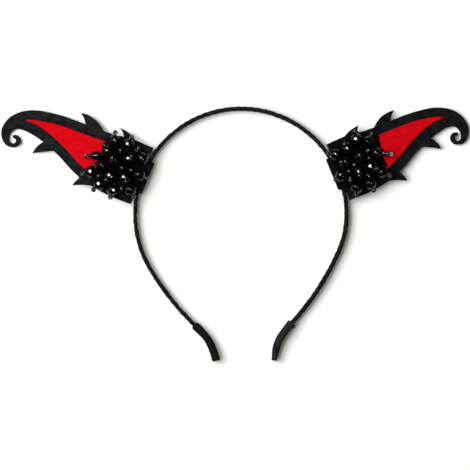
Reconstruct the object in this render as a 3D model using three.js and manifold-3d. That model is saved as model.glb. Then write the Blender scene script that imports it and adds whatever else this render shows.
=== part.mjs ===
// A costume headband with two curled felt ears, at its real size in millimetres, +Z up.
// It lies on its side, as on a table: the band's loop is in the XY plane and the ears point out sideways.
// The origin is on the table, under the middle of the part's outline.
import * as THREE from "three";
import { mergeVertices } from "three/addons/utils/BufferGeometryUtils.js";
import Module from "manifold-3d";

const wasm = await Module();
wasm.setup();

// Driving dimensions

const GAP = 0.3; // clearance between pieces that are wound, glued or sewn together
const FELT = 1.3; // thickness of the black felt
const INLAY_FELT = 1.0; // thickness of the red felt

// The band is a flat steel strip wound with ribbon, standing on its edge.
const BAND = { thick: 2.6, deep: 5.4, corner: 0.8, facet: 4 };

// The band's middle line on each side, from the top of the arch to its end: arcs that run into each other.
// A positive radius curves towards the head and a negative one away from it.
const ARCH = { x: 3.5, y: 12.1, radius: 63.2 }; // centre of the arch, from the origin
const BAND_ARCS = {
  left: [
    { stretch: "arch", radius: ARCH.radius, sweep: 120.5 },
    { stretch: "side", radius: 163, sweep: 16.2 },
    { stretch: "upper end", radius: -70, sweep: -4.1 },
    { stretch: "bend", radius: -25, sweep: -17.9 },
    { stretch: "lower end", radius: -46, sweep: -12.4 },
  ],
  right: [
    { stretch: "arch", radius: ARCH.radius, sweep: 92 },
    { stretch: "shoulder", radius: 52.7, sweep: 21.9 },
    { stretch: "side", radius: 161, sweep: 18.1 },
    { stretch: "upper end", radius: -88, sweep: -7.8 },
    { stretch: "bend", radius: -14.6, sweep: -17.9 },
    { stretch: "lower end", radius: -60, sweep: -9.3 },
  ],
};

// Each end of the band is wound over with more ribbon, as a sleeve that reaches down to the table.
const SLEEVE = { length: 25.5, wide: 4.7, corner: 1.6, steps: 9 };

// The felt ear's middle line and width, a row for each section from the base to the end of the curl.
// along runs out from the band, across runs to the ear's upper edge.
const HORN = [
  { along: 0.0, across: 0.0, width: 36.2 },
  { along: 13.0, across: -0.2, width: 36.5 },
  { along: 25.0, across: -0.3, width: 33.9 },
  { along: 34.5, across: 0.9, width: 30.8 },
  { along: 46.0, across: 3.2, width: 25.3 },
  { along: 56.5, across: 4.9, width: 20.8 },
  { along: 65.0, across: 5.4, width: 17.4 },
  { along: 72.0, across: 5.1, width: 14.8 },
  { along: 77.7, across: 3.8, width: 12.0 },
  { along: 82.2, across: 1.4, width: 9.4 },
  { along: 85.2, across: -2.3, width: 7.2 },
  { along: 86.0, across: -6.7, width: 5.8 },
  { along: 84.7, across: -10.4, width: 4.4 },
  { along: 82.2, across: -12.7, width: 3.1 },
  { along: 79.2, across: -12.8, width: 2.3 },
  { along: 77.2, across: -11.3, width: 2.6 },
  { along: 76.9, across: -9.1, width: 3.0 },
  { along: 78.3, across: -7.5, width: 2.7 },
  { along: 80.2, across: -7.5, width: 2.1 },
];
const BLADE_END = 7; // the section where the blade runs into the curl
const SAMPLES = 4; // points of the outline between two sections

// Barbs along the ears' edges: where the two roots lie along the ear, where the tip is, and how far the side
// towards the base and the side towards the curl bulge out of a straight line.
const BARB_STEPS = 5;
const BARBS = {
  left: [
    { edge: "upper", roots: [12.4, 19.2], tip: [23.6, 21.4], bulge: [1.2, -0.5] },
    { edge: "upper", roots: [32.0, 43.3], tip: [49.0, 20.9], bulge: [2.3, -0.5] },
    { edge: "lower", roots: [26.4, 34.5], tip: [36.7, -21.4], bulge: [-0.5, 0.3] },
    { edge: "lower", roots: [55.1, 62.9], tip: [66.3, -12.8], bulge: [-0.3, 0.8] },
  ],
  right: [
    { edge: "upper", roots: [11.8, 20.4], tip: [22.5, 21.2], bulge: [0.8, -0.6] },
    { edge: "upper", roots: [30.4, 41.0], tip: [45.8, 21.4], bulge: [2.1, -0.5] },
    { edge: "lower", roots: [26.3, 34.2], tip: [36.5, -20.5], bulge: [-0.4, 0.5] },
    { edge: "lower", roots: [52.2, 59.3], tip: [62.8, -11.0], bulge: [-0.3, 0.9] },
  ],
};

// The red inlay is the ear's own shape, drawn in by a border, up to a fine tip at a section of the ear.
// The border's widths are at even steps from the inlay's start to its tip.
const INLAY = { border: [6.0, 6.05, 6.15, 6.4, 6.0], tip: 7.9, steps: 24 };

// The tab at the ear's base goes round the band and is glued back to the ear's underside.
const TAB = { wide: 20, inside: -3.65, outside: 2.85, fold: 1.4, glued: 6 };

// Where each ear sits on the arch and where it points, in degrees above the level line, how long it was cut,
// how much it sweeps up, and its inlay: where its two edges start under the beads and how far up it is glued.
const EARS = [
  {
    side: "left", hand: -1, perch: 21.2, points: 22.6, reach: 1, upsweep: 0,
    inlay: { upper: 26.6, lower: 28, shift: 0.1 },
  },
  {
    side: "right", hand: 1, perch: 23.4, points: 22.6, reach: 0.93, upsweep: 1.1,
    inlay: { upper: 29.6, lower: 28.8, shift: 0.55 },
  },
];
const DROOP = 4; // how far the ears' felt sinks towards the table, in degrees

// A bead has a band of upright facets and two sloping rows: the share of its radius at a share of its half
// height. A tapered bead is wider below its middle and narrower above it.
const BEAD_SIDES = 10;
const BEAD_PROFILE = [
  { out: 0, up: -1 },
  { out: 0.38, up: -1 },
  { out: 0.84, up: -0.55 },
  { out: 1, up: -0.19 },
  { out: 1, up: 0.19 },
  { out: 0.84, up: 0.55 },
  { out: 0.38, up: 1 },
  { out: 0, up: 1 },
];
const ROUND = { radius: 3.7, flatness: 0.865, taper: 0 }; // flatness is half the height over the radius
const DROP = { radius: 2.6, flatness: 1.45, taper: 0.25 };

// The beads of each cluster, a row for each bead: its place on the ear, how far it leans out from the middle
// of the cluster, in degrees, and which felt it sits on. A row may state another radius or shape, or the way
// that the bead leans, in degrees from the ear's middle line. The small beads fill gaps between the others.
const CLUSTER_MIDDLE = { along: 15, across: 0 };
const BEADS = {
  left: [
    { along: 30.0, across: 0.5, lean: 82, on: "inlay", shape: DROP, way: -25 },
    { along: 28.8, across: -9.6, lean: 74, on: "inlay" },
    { along: 21.3, across: -14.5, lean: 74, on: "ear" },
    { along: 12.8, across: -14.4, lean: 76, on: "ear" },
    { along: 2.9, across: -10.2, lean: 68, on: "ear" },
    { along: 1.2, across: -0.1, lean: 64, on: "ear" },
    { along: 3.4, across: 9.8, lean: 68, on: "ear" },
    { along: 14.4, across: 14.4, lean: 76, on: "ear" },
    { along: 22.9, across: 13.5, lean: 78, on: "ear", way: 72 },
    { along: 24.6, across: 6.3, lean: 60, on: "ear" },
    { along: 24.6, across: -3.5, lean: 55, on: "ear" },
    { along: 18.3, across: 2.2, lean: 20, on: "ear" },
    { along: 10.5, across: 6.6, lean: 25, on: "ear" },
    { along: 8.6, across: -5.2, lean: 30, on: "ear" },
    { along: 17.5, across: -7.8, lean: 35, on: "ear" },
    { along: 17.0, across: 8.7, lean: 10, on: "ear", radius: 2.3 },
    { along: 8.6, across: 12.7, lean: 30, on: "ear", radius: 2.2 },
    { along: 7.2, across: 0.6, lean: 10, on: "ear", radius: 2.2 },
    { along: 12.6, across: -0.2, lean: 5, on: "ear", radius: 2.4 },
    { along: 23.0, across: -9.2, lean: 20, on: "ear", radius: 1.9 },
    { along: 8.5, across: -10.9, lean: 20, on: "ear", radius: 1.8 },
  ],
  right: [
    { along: 25.3, across: 1.9, lean: 74, on: "ear", way: -29 },
    { along: 24.1, across: -10.0, lean: 74, on: "ear" },
    { along: 14.9, across: -13.7, lean: 65, on: "ear" },
    { along: 6.2, across: -12.7, lean: 62, on: "ear" },
    { along: 0.3, across: -2.8, lean: 60, on: "ear" },
    { along: 2.2, across: 10.4, lean: 62, on: "ear" },
    { along: 17.4, across: 14.1, lean: 65, on: "ear" },
    { along: 23.6, across: 9.9, lean: 65, on: "ear" },
    { along: 10.4, across: 11.0, lean: 40, on: "ear" },
    { along: 6.0, across: 3.8, lean: 35, on: "ear" },
    { along: 15.0, across: 3.7, lean: 10, on: "ear" },
    { along: 19.4, across: -4.8, lean: 35, on: "ear" },
    { along: 11.3, across: -5.1, lean: 25, on: "ear" },
    { along: 5.2, across: -6.6, lean: 20, on: "ear", radius: 2.2 },
    { along: 20.8, across: 4.7, lean: 10, on: "ear", radius: 2.0 },
    { along: 6.3, across: -2.0, lean: 10, on: "ear", radius: 1.9 },
    { along: 10.4, across: 0.4, lean: 5, on: "ear", radius: 1.8 },
    { along: 19.6, across: 0.7, lean: 5, on: "ear", radius: 1.7 },
    { along: 15.5, across: -8.4, lean: 20, on: "ear", radius: 1.6 },
  ],
};

const MATERIALS = {
  ribbon: new THREE.MeshStandardMaterial({ color: 0x141416, roughness: 0.55, metalness: 0 }),
  felt: new THREE.MeshStandardMaterial({ color: 0x1c1d1e, roughness: 0.95, metalness: 0 }),
  inlay: new THREE.MeshStandardMaterial({ color: 0xd90a14, roughness: 0.9, metalness: 0 }),
  bead: new THREE.MeshStandardMaterial({ color: 0x060607, roughness: 0.08, metalness: 0 }),
};

const radians = THREE.MathUtils.degToRad;

// Solids

// A closed geometry as a solid that can be joined to others.
function solidOf(geometry) {
  const bare = geometry.clone().deleteAttribute("normal").deleteAttribute("uv");
  const { attributes, index } = mergeVertices(bare, 1e-4);
  const mesh = new wasm.Mesh({
    numProp: 3,
    vertProperties: attributes.position.array,
    triVerts: new Uint32Array(index.array),
  });
  return new wasm.Manifold(mesh);
}

// Several closed geometries joined into one.
function joined(...geometries) {
  const whole = geometries.map(solidOf).reduce((a, b) => a.add(b));
  const { vertProperties, triVerts } = whole.getMesh();
  const geometry = new THREE.BufferGeometry();
  geometry.setAttribute("position", new THREE.BufferAttribute(vertProperties, 3));
  geometry.setIndex(new THREE.BufferAttribute(triVerts, 1));
  return geometry;
}

function piece(name, geometry, material) {
  const mesh = new THREE.Mesh(geometry, material);
  mesh.name = name;
  return mesh;
}

// A rectangle with round corners, from its low corner to its high one.
function roundedRectangle(low, high, radius, Kind = THREE.Shape) {
  const shape = new Kind();
  shape.absarc(high.x - radius, low.y + radius, radius, -Math.PI / 2, 0);
  shape.absarc(high.x - radius, high.y - radius, radius, 0, Math.PI / 2);
  shape.absarc(low.x + radius, high.y - radius, radius, Math.PI / 2, Math.PI);
  shape.absarc(low.x + radius, low.y + radius, radius, Math.PI, 1.5 * Math.PI);
  shape.closePath();
  return shape;
}

// Band and sleeves

// Length of the band from the top of the arch to its end on one side.
function bandLength(side) {
  return BAND_ARCS[side].reduce((sum, { radius, sweep }) => sum + radius * radians(sweep), 0);
}

// The band's middle line between two lengths, counted from the top of the arch, below zero on the left side.
class BandLine extends THREE.Curve {
  constructor(from, to) {
    super();
    this.from = from;
    this.to = to;
  }

  getPoint(t, target = new THREE.Vector3()) {
    const along = THREE.MathUtils.lerp(this.from, this.to, t);
    let left = Math.abs(along);
    let heading = 0;
    target.set(0, ARCH.radius, 0);
    for (const { radius, sweep } of BAND_ARCS[along < 0 ? "left" : "right"]) {
      const length = Math.min(left, radius * radians(sweep));
      const turned = heading + length / radius;
      target.x += radius * (Math.sin(turned) - Math.sin(heading));
      target.y += radius * (Math.cos(turned) - Math.cos(heading));
      heading = turned;
      left -= length;
    }
    target.x *= Math.sign(along);
    return target;
  }
}

// A section of the band or of a sleeve, centred on the middle line.
function bandSection(deep, thick, corner, Kind) {
  const high = new THREE.Vector2(deep / 2, thick / 2);
  return roundedRectangle(high.clone().negate(), high, corner, Kind);
}

function band() {
  const [left, right] = [bandLength("left"), bandLength("right")];
  const extrudePath = new BandLine(-left, right);
  const steps = Math.round((left + right) / BAND.facet);
  const section = bandSection(BAND.deep, BAND.thick, BAND.corner);
  return new THREE.ExtrudeGeometry(section, { steps, extrudePath, curveSegments: 1 });
}

// A sleeve of wound ribbon round the band's end, with the band inside it.
function sleeve({ side, hand }) {
  const section = bandSection(BAND.deep + 2 * (GAP + FELT), SLEEVE.wide, SLEEVE.corner);
  section.holes.push(bandSection(BAND.deep + 2 * GAP, BAND.thick + 2 * GAP, BAND.corner, THREE.Path));
  const end = bandLength(side);
  const extrudePath = new BandLine(hand * (end - SLEEVE.length), hand * end);
  return new THREE.ExtrudeGeometry(section, { steps: SLEEVE.steps, extrudePath, curveSegments: 2 });
}

// Felt ears

// The middle line of one ear as it was cut. Its third coordinate is half the width.
function hornLine({ reach, upsweep }) {
  const slope = Math.tan(radians(upsweep));
  const points = HORN.map(({ along, across, width }) => {
    return new THREE.Vector3(along * reach, across + along * slope, width / 2);
  });
  return new THREE.CatmullRomCurve3(points, false, "catmullrom");
}

// A point of the ear's edge at a section number, drawn in from the edge by inset.
function edgePoint(line, edge, section, inset = 0) {
  const t = section / (HORN.length - 1);
  const middle = line.getPoint(t);
  const heading = line.getTangent(t).setZ(0).normalize();
  const out = (edge === "upper" ? 1 : -1) * (middle.z - inset);
  return new THREE.Vector2(middle.x - heading.y * out, middle.y + heading.x * out);
}

// The section number at which an edge of the blade gets to a place along the ear, by halving.
function sectionAt(line, edge, along) {
  let [low, high] = [0, BLADE_END];
  for (let i = 0; i < 30; i++) {
    const middle = (low + high) / 2;
    if (edgePoint(line, edge, middle).x < along) low = middle;
    else high = middle;
  }
  return low;
}

// A curve from one point to the next that bulges to its left, without its last point.
function bulging(from, to, bulge) {
  const chord = to.clone().sub(from).normalize();
  const aside = new THREE.Vector2(-chord.y, chord.x);
  const control = from.clone().lerp(to, 0.5).addScaledVector(aside, 2 * bulge);
  return new THREE.QuadraticBezierCurve(from, control, to).getPoints(BARB_STEPS).slice(0, -1);
}

// One edge of the ear from its base to the end of the curl. Each barb takes the place of the edge between
// its roots.
function barbedEdge(line, side, edge) {
  const outward = edge === "upper" ? 1 : -1;
  const barbs = BARBS[side].filter((barb) => barb.edge === edge);
  const runs = barbs.map(({ roots, tip, bulge }) => {
    const [near, far] = roots.map((along) => sectionAt(line, edge, along));
    const [start, end] = [near, far].map((section) => edgePoint(line, edge, section));
    const top = new THREE.Vector2(...tip);
    const rising = bulging(start, top, outward * bulge[0]);
    const falling = bulging(top, end, outward * bulge[1]);
    return { near, far, points: [...rising, ...falling, end] };
  });
  for (let step = 0; step <= SAMPLES * (HORN.length - 1); step++) {
    const near = step / SAMPLES;
    const onBarb = runs.some((run) => run.far && run.near - 0.1 < near && near < run.far + 0.1);
    if (!onBarb) runs.push({ near, points: [edgePoint(line, edge, near)] });
  }
  return runs.sort((a, b) => a.near - b.near).flatMap(({ points }) => points);
}

// The round end of the curl, from the upper edge to the lower one.
function curlEnd(line) {
  const end = line.getPoint(1);
  const heading = line.getTangent(1);
  const angle = Math.atan2(heading.y, heading.x);
  return [60, 20, -20, -60].map((turn) => {
    const out = new THREE.Vector2(end.z, 0).rotateAround(new THREE.Vector2(), angle + radians(turn));
    return out.add(end);
  });
}

// An outline in the ear's axes as a shape, turned over for the left side.
function outline(points, hand) {
  return new THREE.Shape(points.map(({ x, y }) => new THREE.Vector2(x, hand * y)));
}

function earOutline(ear) {
  const line = hornLine(ear);
  const upper = barbedEdge(line, ear.side, "upper");
  const lower = barbedEdge(line, ear.side, "lower").reverse();
  return outline([...upper, ...curlEnd(line), ...lower], ear.hand);
}

// The inlay's border at a share of the way from its start to its tip.
function inlayBorder(share) {
  const place = share * (INLAY.border.length - 1);
  const row = Math.min(Math.floor(place), INLAY.border.length - 2);
  return THREE.MathUtils.lerp(INLAY.border[row], INLAY.border[row + 1], place - row);
}

// One edge of the red inlay, from its start under the beads to its tip.
function inlayEdge(line, edge, start) {
  const first = sectionAt(line, edge, start);
  return Array.from({ length: INLAY.steps + 1 }, (_, i) => {
    const share = i / INLAY.steps;
    const section = THREE.MathUtils.lerp(first, INLAY.tip, share);
    return edgePoint(line, edge, section, inlayBorder(share));
  });
}

function inlayOutline(ear) {
  const line = hornLine(ear);
  const { upper, lower, shift } = ear.inlay;
  const points = [...inlayEdge(line, "upper", upper), ...inlayEdge(line, "lower", lower).reverse()];
  return outline(points.map((point) => point.add(new THREE.Vector2(0, shift))), ear.hand);
}

const EAR_TOP = BAND.deep / 2 + GAP + FELT; // top face of the ear at its base, above the band's middle

// A sheet of felt cut to a shape, with its underside at height.
function sheet(shape, thick, height) {
  return new THREE.ExtrudeGeometry(shape, { depth: thick, bevelEnabled: false }).translate(0, 0, height);
}

// A geometry made on the level, laid on the ear's sloping top face.
function onEar(geometry) {
  return geometry.rotateY(radians(DROOP)).translate(0, 0, EAR_TOP);
}

// The ear, the tab round the band and the end of the tab glued under the ear, all of one felt.
function earFelt(ear) {
  const blade = onEar(sheet(earOutline(ear), FELT, -FELT));

  const high = new THREE.Vector2(TAB.outside, EAR_TOP);
  const low = new THREE.Vector2(TAB.inside, -EAR_TOP);
  const loop = roundedRectangle(low, high, TAB.fold);
  loop.holes.push(
    roundedRectangle(low.clone().addScalar(FELT), high.clone().subScalar(FELT), TAB.fold / 3, THREE.Path),
  );
  const tab = new THREE.ExtrudeGeometry(loop, { depth: TAB.wide, bevelEnabled: false, curveSegments: 2 });
  tab.translate(0, 0, -TAB.wide / 2).rotateX(Math.PI / 2);

  const glued = new THREE.BoxGeometry(TAB.glued, TAB.wide, FELT);
  glued.translate(TAB.outside - FELT + TAB.glued / 2, 0, -1.5 * FELT + 0.05);
  return joined(blade, tab, onEar(glued));
}

// Beads

function beadProfile({ radius, flatness, taper }) {
  return BEAD_PROFILE.map(({ out, up }) => {
    return new THREE.Vector2(radius * out * (1 - taper * up), radius * flatness * up);
  });
}

// A bead on the ear's top face, leaning out from the middle of its cluster and just clear of the felt.
function bead(name, hand, { along, across, lean, on, shape = ROUND, radius = shape.radius, way }) {
  const profile = beadProfile({ ...shape, radius });
  const tilt = radians(lean);
  const away = Math.atan2(across - CLUSTER_MIDDLE.across, along - CLUSTER_MIDDLE.along);
  const heading = way === undefined ? away : radians(way);
  const axis = new THREE.Vector3(Math.cos(heading), hand * Math.sin(heading), 0);
  axis.multiplyScalar(Math.sin(tilt)).setZ(Math.cos(tilt));
  const below = profile.map(({ x, y }) => x * Math.sin(tilt) - y * Math.cos(tilt));
  const seat = on === "inlay" ? GAP + INLAY_FELT + GAP : GAP;
  const geometry = new THREE.LatheGeometry(profile, BEAD_SIDES).rotateX(Math.PI / 2);
  const mesh = piece(name, geometry, MATERIALS.bead);
  mesh.position.set(along, hand * across, seat + Math.max(...below));
  mesh.quaternion.setFromUnitVectors(new THREE.Vector3(0, 0, 1), axis);
  return mesh;
}

// Assembly

function earGroup(ear) {
  const group = new THREE.Group();
  const perch = radians(ear.perch);
  group.position.set(ear.hand * ARCH.radius * Math.cos(perch), ARCH.radius * Math.sin(perch), 0);
  group.rotation.z = ear.hand > 0 ? radians(ear.points) : Math.PI - radians(ear.points);
  group.add(piece(`ear_${ear.side}`, earFelt(ear), MATERIALS.felt));

  const face = new THREE.Group();
  face.position.z = EAR_TOP;
  face.rotation.y = radians(DROOP);
  face.add(piece(`inlay_${ear.side}`, sheet(inlayOutline(ear), INLAY_FELT, GAP), MATERIALS.inlay));
  BEADS[ear.side].forEach((row, i) => {
    face.add(bead(`bead_${ear.side}_${String(i + 1).padStart(2, "0")}`, ear.hand, row));
  });
  group.add(face);
  return group;
}

const headband = new THREE.Group();
headband.position.set(ARCH.x, ARCH.y, EAR_TOP);
headband.add(piece("band", band(), MATERIALS.ribbon));
for (const ear of EARS) {
  headband.add(piece(`sleeve_${ear.side}`, sleeve(ear), MATERIALS.ribbon));
  headband.add(earGroup(ear));
}

const part = new THREE.Group();
part.add(headband);

export default part;
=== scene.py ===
"""The looks of a costume headband with two curled felt ears, laid out as a Blender add-on.

The tables are in millimetres and degrees, and the meshes in metres. The axes are the frame's own: X runs
from ear to ear, Y towards the top of the arch and Z up from the table.
"""

import bmesh
import bpy
import numpy as np
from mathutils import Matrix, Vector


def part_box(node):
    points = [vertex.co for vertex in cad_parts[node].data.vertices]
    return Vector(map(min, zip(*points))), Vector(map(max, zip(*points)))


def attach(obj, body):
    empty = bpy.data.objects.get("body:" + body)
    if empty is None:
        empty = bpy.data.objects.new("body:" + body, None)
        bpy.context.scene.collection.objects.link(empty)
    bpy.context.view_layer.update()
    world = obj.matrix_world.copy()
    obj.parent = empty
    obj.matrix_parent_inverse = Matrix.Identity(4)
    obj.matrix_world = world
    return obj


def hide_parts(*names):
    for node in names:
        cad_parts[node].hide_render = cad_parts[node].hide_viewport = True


bl_info = {
    "name": "Headband with curled felt ears",
    "version": (1, 0, 0),
    "blender": (4, 5, 0),
    "location": "3D View > Sidebar > Headband",
    "description": "Dresses the solids of a headband in wound ribbon, felt, glass beads and thread",
    "category": "Object",
}

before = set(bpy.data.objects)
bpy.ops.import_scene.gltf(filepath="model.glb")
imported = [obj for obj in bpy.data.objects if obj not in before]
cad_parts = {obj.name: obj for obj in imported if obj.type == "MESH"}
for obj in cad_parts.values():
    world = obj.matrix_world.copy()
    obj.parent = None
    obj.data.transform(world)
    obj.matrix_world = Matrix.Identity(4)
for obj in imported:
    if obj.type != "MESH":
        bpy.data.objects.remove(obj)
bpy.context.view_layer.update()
MM = 0.001
BODY = "root"

# Band

BAND_LOW, BAND_HIGH = (np.array(corner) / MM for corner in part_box("band"))
BAND_DEEP = BAND_HIGH[2] - BAND_LOW[2]
BAND_MIDDLE = (BAND_HIGH[2] + BAND_LOW[2]) / 2  # height of the band's middle line
ARCH_CENTRE = np.array([3.5, 12.1])
ARCH_RADIUS = 63.2

# The band's middle line on each side, from the top of the arch: (radius, sweep) of arcs that run into each
# other. A negative radius curves away from the head.
BAND_ARCS = {
    -1: [(ARCH_RADIUS, 120.5), (163.0, 16.2), (-70.0, -4.1), (-25.0, -17.9), (-46.0, -12.4)],
    1: [(ARCH_RADIUS, 92.0), (52.7, 21.9), (161.0, 18.1), (-88.0, -7.8), (-14.6, -17.9), (-60.0, -9.3)],
}

# The band's thickness: (length from the top of the arch, below zero on the left, thickness)
BAND_THICK = [
    (-200, 2.3), (-150, 2.75), (-110, 2.6), (-86, 2.4), (-62, 2.4), (-30, 2.7),
    (30, 2.75), (64, 2.55), (88, 2.6), (110, 2.85), (200, 2.85),
]

# Sleeves: (distance from the sleeve's upper end, width) on each side
SLEEVE_LENGTH = 25.5
SLEEVE_DEEP = 8.4
SLEEVE_WIDE = {
    -1: [(0, 3.9), (0.7, 4.9), (2.6, 5.0), (4.5, 4.9), (8, 4.7), (14, 4.6), (22, 4.8), (25.5, 4.9)],
    1: [
        (0, 4.3), (0.7, 5.4), (3, 5.1), (8, 4.7), (13, 4.8), (18, 4.6),
        (22.3, 4.0), (22.8, 3.3), (23.4, 3.4), (25.5, 3),
    ],
}
SLEEVE_RELIEF = {-1: 0.05, 1: 0.14}  # how far one turn of ribbon stands above the next
# How strong each sleeve's painted sheen is: the lighter colour on the ribbon's ribs that stands in for the
# satin's sheen.
SLEEVE_PAINTED_SHEEN = {-1: 1.1, 1: 6.4}  # how much of the ribbon's gleam a sleeve shows
SLEEVE_TURN = {-1: 4.4, 1: 22.0}  # length of one turn of the ribbon
SLEEVE_RIBS = {-1: 4, 1: 12}  # ribs on a turn
BAND_RIBS = 16  # the same on the band
BAND_INSET = 1.2  # how far inside the sleeves' ends the band stops
LAP = 0.9  # the share of its width over which a turn of ribbon rises, before it drops at its edge
WANDER, WANDER_LENGTH = 0.9, 37.0  # how far the turns wander along the band, and over what length

# Felt ears

# Middle line and width, from the base to the end of the curl: (along, across, width)
HORN = np.array([
    (0.0, 0.0, 36.2),
    (13.0, -0.2, 36.5),
    (25.0, -0.3, 33.9),
    (34.5, 0.9, 30.8),
    (46.0, 3.2, 25.3),
    (56.5, 4.9, 20.8),
    (65.0, 5.4, 17.4),
    (72.0, 5.1, 14.8),
    (77.7, 3.8, 12.0),
    (82.2, 1.4, 9.4),
    (85.2, -2.3, 7.2),
    (86.0, -6.7, 5.8),
    (84.7, -10.4, 4.4),
    (82.2, -12.7, 3.1),
    (79.2, -12.8, 2.3),
    (77.2, -11.3, 2.6),
    (76.9, -9.1, 3.0),
    (78.3, -7.5, 2.7),
    (80.2, -7.5, 2.1),
])
BLADE_END = 7  # the section where the blade runs into the curl

# Each ear: its side, where it sits on the arch and points in degrees, how long it was cut, how far it sweeps
# up in degrees, how pale its black felt is, where its inlay's upper and lower edges start and how far up it
# was glued, and its barbs. A barb has the sign of its edge, the places of its two roots along the ear, its
# tip, and how far its two sides bulge out of a straight line.
EARS = {
    "left": {
        "hand": -1, "perch": 21.2, "points": 22.6, "reach": 1.0, "upsweep": 0.0, "shade": 1.0,
        "inlay_start": (26.6, 28.0), "inlay_shift": 0.1,
        "barbs": [
            (1, (12.4, 19.2), (23.6, 21.4), (1.2, -0.5)),
            (1, (32.0, 43.3), (49.0, 20.9), (2.3, -0.5)),
            (-1, (26.4, 34.5), (36.7, -21.4), (-0.5, 0.3)),
            (-1, (55.1, 62.9), (66.3, -12.8), (-0.3, 0.8)),
        ],
    },
    "right": {
        "hand": 1, "perch": 23.4, "points": 22.6, "reach": 0.93, "upsweep": 1.1, "shade": 0.72,
        "inlay_start": (29.6, 28.8), "inlay_shift": 0.55,
        "barbs": [
            (1, (11.8, 20.4), (22.5, 21.2), (0.8, -0.6)),
            (1, (30.4, 41.0), (45.8, 21.4), (2.1, -0.5)),
            (-1, (26.3, 34.2), (36.5, -20.5), (-0.4, 0.5)),
            (-1, (52.2, 59.3), (62.8, -11.0), (-0.3, 0.9)),
        ],
    },
}
DROOP = np.radians(4.0)  # how far the ears sink towards the table
EAR_TOP = BAND_MIDDLE  # height of an ear's top face at its base, above the band's middle line
INLAY_BORDER = [6.0, 6.05, 6.15, 6.4, 6.0]  # at even steps from an inlay's start to its tip
INLAY_TIP = 7.9  # the section of an inlay's tip
INLAY_LOW = 0.03  # an inlay's underside above its ear's top face
INLAY_WAVER = 0.2  # how uneven an inlay's start is, in sections
FELT_WAVES = [(0.05, 3.5), (0.03, 1.6)]  # the waves in the felt's faces: their depth and length

# The tab goes round the band: its width, and the stretches of its outer face as (length, turn in degrees)
TAB_WIDE = 20.0
TAB_STRETCHES = [
    (2.25, 0.0), (2.2, 90.0), (5.8, 0.0), (2.2, 90.0), (3.7, 0.0),
    (2.2, 90.0), (4.2, 0.0), (0.35, -86.0), (5.6, 0.0),
]

# Beads: the rows of facets of the two cuts, as (lean in degrees, turn in facets)
BEAD_CUTS = [
    [(0, 0.0), (34, 0.5), (-34, 0.5), (63, 0.0), (-63, 0.0)],
    [(17, 0.0), (-17, 0.5), (49, 0.5), (-49, 0.0), (76, 0.0), (-76, 0.5)],
]

# How brightly each bead catches the light in the photograph: a grade from 0, dark, to 4, a white highlight
BEAD_GRADES = {
    "left": [0, 3, 4, 2, 0, 0, 0, 3, 1, 1, 0, 0, 4, 4, 4, 0, 0, 0, 0, 0, 0],
    "right": [0, 0, 0, 0, 1, 1, 4, 0, 2, 1, 1, 4, 4, 2, 0, 0, 0, 0, 0],
}
GRADE_SHINE = [0.0, 0.2, 0.45, 0.65, 0.9]  # each grade's share of the brightest highlight
TURN_STEPS = 18  # turns of a bead that are tried within one facet
FACET_DEPTH = 0.968  # a facet's distance from the bead's centre, as a share of the radius there
BEAD_FULLNESS = 1.04  # how much farther the facets near a bead's ends stand out

# The two lamps that show in the beads: place in metres, share of the light, and the degrees that a facet
# may be off before its shine fades
GLINT = ((-0.45, 0.35, 1.15), 1.0, 6.5)
SPARK = ((0.4, -0.25, 1.2), 0.55, 4.0)

# How much a drop narrows towards its upper end, and where more than one seed bead is on a thread
TAPERS = {"bead_left_01": 0.25}
SEED_ROWS = {"bead_right_01": 3}
SEED_THICK, SEED_HALF, SEED_PITCH = 0.42, 0.74, 1.5  # thickness, half height and spacing, in radii
THREAD_SHOWS, THREAD_SINKS = 0.6, 0.5  # how far a thread shows under its bead, and sinks into the felt
# The black felt gets a painted shade round this middle, where the beads shade it.
CLUSTER_MIDDLE = np.array([13.0, 0.0, 0.0])  # of the beads on an ear: along, across, height
BEAD_NODES = {side: sorted(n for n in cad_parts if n.startswith(f"bead_{side}")) for side in EARS}

# The photograph's frame
VIEW_CENTRE = (0.0, -0.2)
VIEW_WIDE = 281.0
VIEW_PLANE = 5.0  # height at which the view is that wide
FLOOR_HALF = 4000.0  # half of the floor's side
FLOOR_HEIGHT = -0.08  # a little under the part, so that no face of it lies in the floor


# Settings

def length_setting(name, description, default, **limits):
    """A size in metres."""
    return bpy.props.FloatProperty(
        name=name, description=description, default=default, unit="LENGTH", precision=5, **limits)


def power_setting(name, description, default):
    """A lamp's power in watts."""
    return bpy.props.FloatProperty(name=name, description=description, default=default, unit="POWER")


def colour_setting(name, description, *channels):
    """A colour from its linear red, green and blue. Its alpha is 1."""
    return bpy.props.FloatVectorProperty(
        name=name, description=description, default=(*channels, 1.0), size=4, subtype="COLOR", min=0, max=1)


class RibbonSettings(bpy.types.PropertyGroup):
    pitch: length_setting("Turn", "Distance from one turn of the ribbon to the next", 0.0041, min=0.001)
    relief: length_setting(
        "Overlap height", "How far one turn stands above the one that it overlaps", 0.00026)
    colour: colour_setting("Colour", "Colour of the ribbon's threads", 0.0012, 0.0012, 0.0014)
    # The gleam colour is a painted sheen: it lightens the ribbon's raised ribs and slubs in place of the
    # satin's own sheen.
    painted_sheen: colour_setting("Gleam", "Colour of the ribbon where its threads lie open", 0.003, 0.003, 0.0032)


class FeltSettings(bpy.types.PropertyGroup):
    thickness: length_setting("Ear thickness", "Thickness of the black felt", 0.0013)
    inlay_thickness: length_setting("Inlay thickness", "Thickness of the red felt", 0.0012)
    rounding: length_setting("Edge rounding", "Radius of the felt's cut edges", 0.00032)
    fibre_length: length_setting("Fibre length", "Longest of the loose fibres", 0.0008)
    fibres: bpy.props.IntProperty(
        name="Fibres", description="Loose fibres on each ear", default=2400, min=0)
    black: colour_setting("Black felt", "Colour of the ears", 0.0108, 0.011, 0.0116)
    red: colour_setting("Red felt", "Colour of the inlays", 0.48, 0.0024, 0.0064)


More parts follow.
